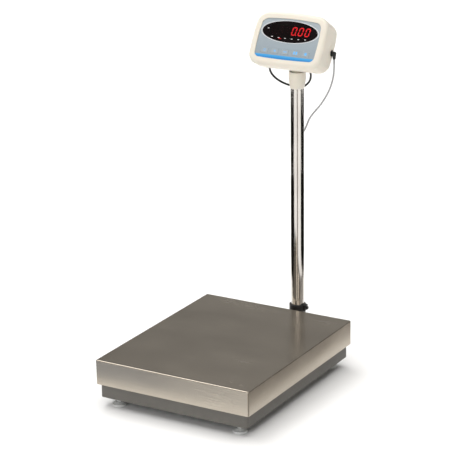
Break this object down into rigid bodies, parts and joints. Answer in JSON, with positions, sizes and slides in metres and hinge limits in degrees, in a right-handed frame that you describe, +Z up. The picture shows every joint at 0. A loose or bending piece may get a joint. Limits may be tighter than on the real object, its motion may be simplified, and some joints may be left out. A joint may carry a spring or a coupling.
{
  "type": "platform shipping scale",
  "caption": "Platform scale with a lift-off stainless platter on a single load cell, levelling feet, and a column that carries a tilting indicator with a lit display and keys.",
  "frame": {"origin": "under the middle of the whole footprint, on the floor", "axes": "+X to the right of the person reading the display, +Y from the platter to the column at the back, +Z up"},
  "size_m": [0.4, 0.5859, 0.8377],
  "materials": {
    "stainless_brushed": "brushed stainless sheet, grain along the platter",
    "stainless_tube": "polished stainless tube",
    "painted_steel": "dark grey powder coat",
    "zinc_steel": "bright zinc plate",
    "cell_aluminium": "machined aluminium",
    "black_rubber": "black rubber",
    "black_plastic": "black moulded plastic",
    "nylon": "natural nylon",
    "level_fluid": "green level fluid",
    "cream_abs": "cream moulded ABS, fine texture",
    "overlay_film": "grey-blue printed film",
    "window_tint": "dark red tinted window",
    "circuit_board": "green solder resist",
    "led_red": "red seven-segment display modules",
    "lamp_clear": "clear lamp bodies",
    "key_film": "grey-blue keys",
    "grey_lead": "grey PVC sheath",
    "black_lead": "black PVC sheath"
  },
  "bodies": {
    "base": {"base_frame": "painted_steel", "cell_beam": "painted_steel", "beam_screws": "zinc_steel", "cell_lower_spacer": "cell_aluminium", "load_cell": "cell_aluminium", "cell_lower_bolts": "zinc_steel", "overload_stops": "zinc_steel", "level_housing": "black_plastic", "level_vial": "level_fluid", "foot_locknuts": "zinc_steel", "column_bracket": "painted_steel", "bracket_bolts": "zinc_steel", "socket_tube": "painted_steel", "column_sleeve": "nylon", "clamp_collar": "black_plastic", "base_lead": "grey_lead"},
    "spider": {"spider_frame": "painted_steel", "cell_upper_spacer": "cell_aluminium", "cell_upper_bolts": "zinc_steel", "platter_pads": "black_rubber"},
    "platter": {"platter": "stainless_brushed"},
    "column": {"column_tube": "stainless_tube", "column_grommet": "black_rubber", "neck_socket": "cream_abs", "column_lead": "grey_lead", "head_lead": "grey_lead"},
    "clamp_tip": {"clamp_tip": "nylon"},
    "clamp_screw": {"clamp_screw": "black_plastic"},
    "head": {"front_case": "cream_abs", "rear_case": "cream_abs", "case_screws": "zinc_steel", "front_overlay": "overlay_film", "window_lens": "window_tint", "display_board": "circuit_board", "main_board": "circuit_board", "board_header": "black_plastic", "led_digits": "led_red", "status_lamps": "lamp_clear", "key_switches": "black_plastic", "tilt_bracket": "painted_steel", "bracket_screws": "zinc_steel", "tilt_bolt": "zinc_steel", "tilt_nut": "zinc_steel", "loop_glands": "black_plastic", "cell_jack": "black_plastic", "cell_plug": "black_plastic", "loop_lead": "black_lead"},
    "foot_pad_1": {"foot_pad_1": "zinc_steel"},
    "foot_stud_1": {"foot_stud_1": "zinc_steel"},
    "foot_pad_2": {"foot_pad_2": "zinc_steel"},
    "foot_stud_2": {"foot_stud_2": "zinc_steel"},
    "foot_pad_3": {"foot_pad_3": "zinc_steel"},
    "foot_stud_3": {"foot_stud_3": "zinc_steel"},
    "foot_pad_4": {"foot_pad_4": "zinc_steel"},
    "foot_stud_4": {"foot_stud_4": "zinc_steel"},
    "key_1": {"key_1": "key_film"},
    "key_2": {"key_2": "key_film"},
    "key_3": {"key_3": "key_film"},
    "key_4": {"key_4": "key_film"},
    "key_5": {"key_5": "key_film"}
  },
  "joints": [
    {"name": "platform_press", "type": "slide", "parent": "base", "child": "spider", "axis": [0, 0, -1], "range_m": [0, 0.0008], "stiffness_N_per_m": 1000000, "springref_m": -0.00007, "deforming": ["load_cell"]},
    {"name": "platter_lift", "type": "slide", "parent": "spider", "child": "platter", "axis": [0, 0, 1], "range_m": [0, 0.12]},
    {"name": "column_turn", "type": "hinge", "parent": "base", "child": "column", "pos_m": [0.03, 0.25541, 0.046], "axis": [0, 0, 1], "range_deg": [-170, 170]},
    {"name": "clamp_slide", "type": "slide", "parent": "base", "child": "clamp_tip", "axis": [1, 0, 0], "range_m": [0, 0.004]},
    {"name": "clamp_turn", "type": "hinge", "parent": "clamp_tip", "child": "clamp_screw", "pos_m": [0.03, 0.25541, 0.1062], "axis": [1, 0, 0], "range_deg": [0, 1440]},
    {"name": "head_tilt", "type": "hinge", "parent": "column", "child": "head", "pos_m": [0.03, 0.25541, 0.712], "axis": [1, 0, 0], "range_deg": [-10, 8], "deforming": ["head_lead"]},
    {"name": "foot_1_height", "type": "slide", "parent": "base", "child": "foot_pad_1", "axis": [0, 0, -1], "range_m": [0, 0.01]},
    {"name": "foot_1_turn", "type": "hinge", "parent": "foot_pad_1", "child": "foot_stud_1", "pos_m": [-0.1593, -0.25829, 0.009], "axis": [0, 0, 1], "range_deg": [0, 2880]},
    {"name": "foot_2_height", "type": "slide", "parent": "base", "child": "foot_pad_2", "axis": [0, 0, -1], "range_m": [0, 0.01]},
    {"name": "foot_2_turn", "type": "hinge", "parent": "foot_pad_2", "child": "foot_stud_2", "pos_m": [-0.1593, 0.17511, 0.009], "axis": [0, 0, 1], "range_deg": [0, 2880]},
    {"name": "foot_3_height", "type": "slide", "parent": "base", "child": "foot_pad_3", "axis": [0, 0, -1], "range_m": [0, 0.01]},
    {"name": "foot_3_turn", "type": "hinge", "parent": "foot_pad_3", "child": "foot_stud_3", "pos_m": [0.1593, -0.25829, 0.009], "axis": [0, 0, 1], "range_deg": [0, 2880]},
    {"name": "foot_4_height", "type": "slide", "parent": "base", "child": "foot_pad_4", "axis": [0, 0, -1], "range_m": [0, 0.01]},
    {"name": "foot_4_turn", "type": "hinge", "parent": "foot_pad_4", "child": "foot_stud_4", "pos_m": [0.1593, 0.17511, 0.009], "axis": [0, 0, 1], "range_deg": [0, 2880]},
    {"name": "key_1_press", "type": "slide", "parent": "head", "child": "key_1", "axis": [0, 0.8603, -0.5098], "range_m": [0, 0.0005], "stiffness_N_per_m": 500, "springref_m": -0.0006},
    {"name": "key_2_press", "type": "slide", "parent": "head", "child": "key_2", "axis": [0, 0.8603, -0.5098], "range_m": [0, 0.0005], "stiffness_N_per_m": 500, "springref_m": -0.0006},
    {"name": "key_3_press", "type": "slide", "parent": "head", "child": "key_3", "axis": [0, 0.8603, -0.5098], "range_m": [0, 0.0005], "stiffness_N_per_m": 500, "springref_m": -0.0006},
    {"name": "key_4_press", "type": "slide", "parent": "head", "child": "key_4", "axis": [0, 0.8603, -0.5098], "range_m": [0, 0.0005], "stiffness_N_per_m": 500, "springref_m": -0.0006},
    {"name": "key_5_press", "type": "slide", "parent": "head", "child": "key_5", "axis": [0, 0.8603, -0.5098], "range_m": [0, 0.0005], "stiffness_N_per_m": 500, "springref_m": -0.0006}
  ],
  "couplings": [
    {"joint": "clamp_turn", "follows": "clamp_slide", "rad_per_m": 6283.2},
    {"joint": "foot_1_turn", "follows": "foot_1_height", "rad_per_m": 5026.5},
    {"joint": "foot_2_turn", "follows": "foot_2_height", "rad_per_m": 5026.5},
    {"joint": "foot_3_turn", "follows": "foot_3_height", "rad_per_m": 5026.5},
    {"joint": "foot_4_turn", "follows": "foot_4_height", "rad_per_m": 5026.5}
  ]
}
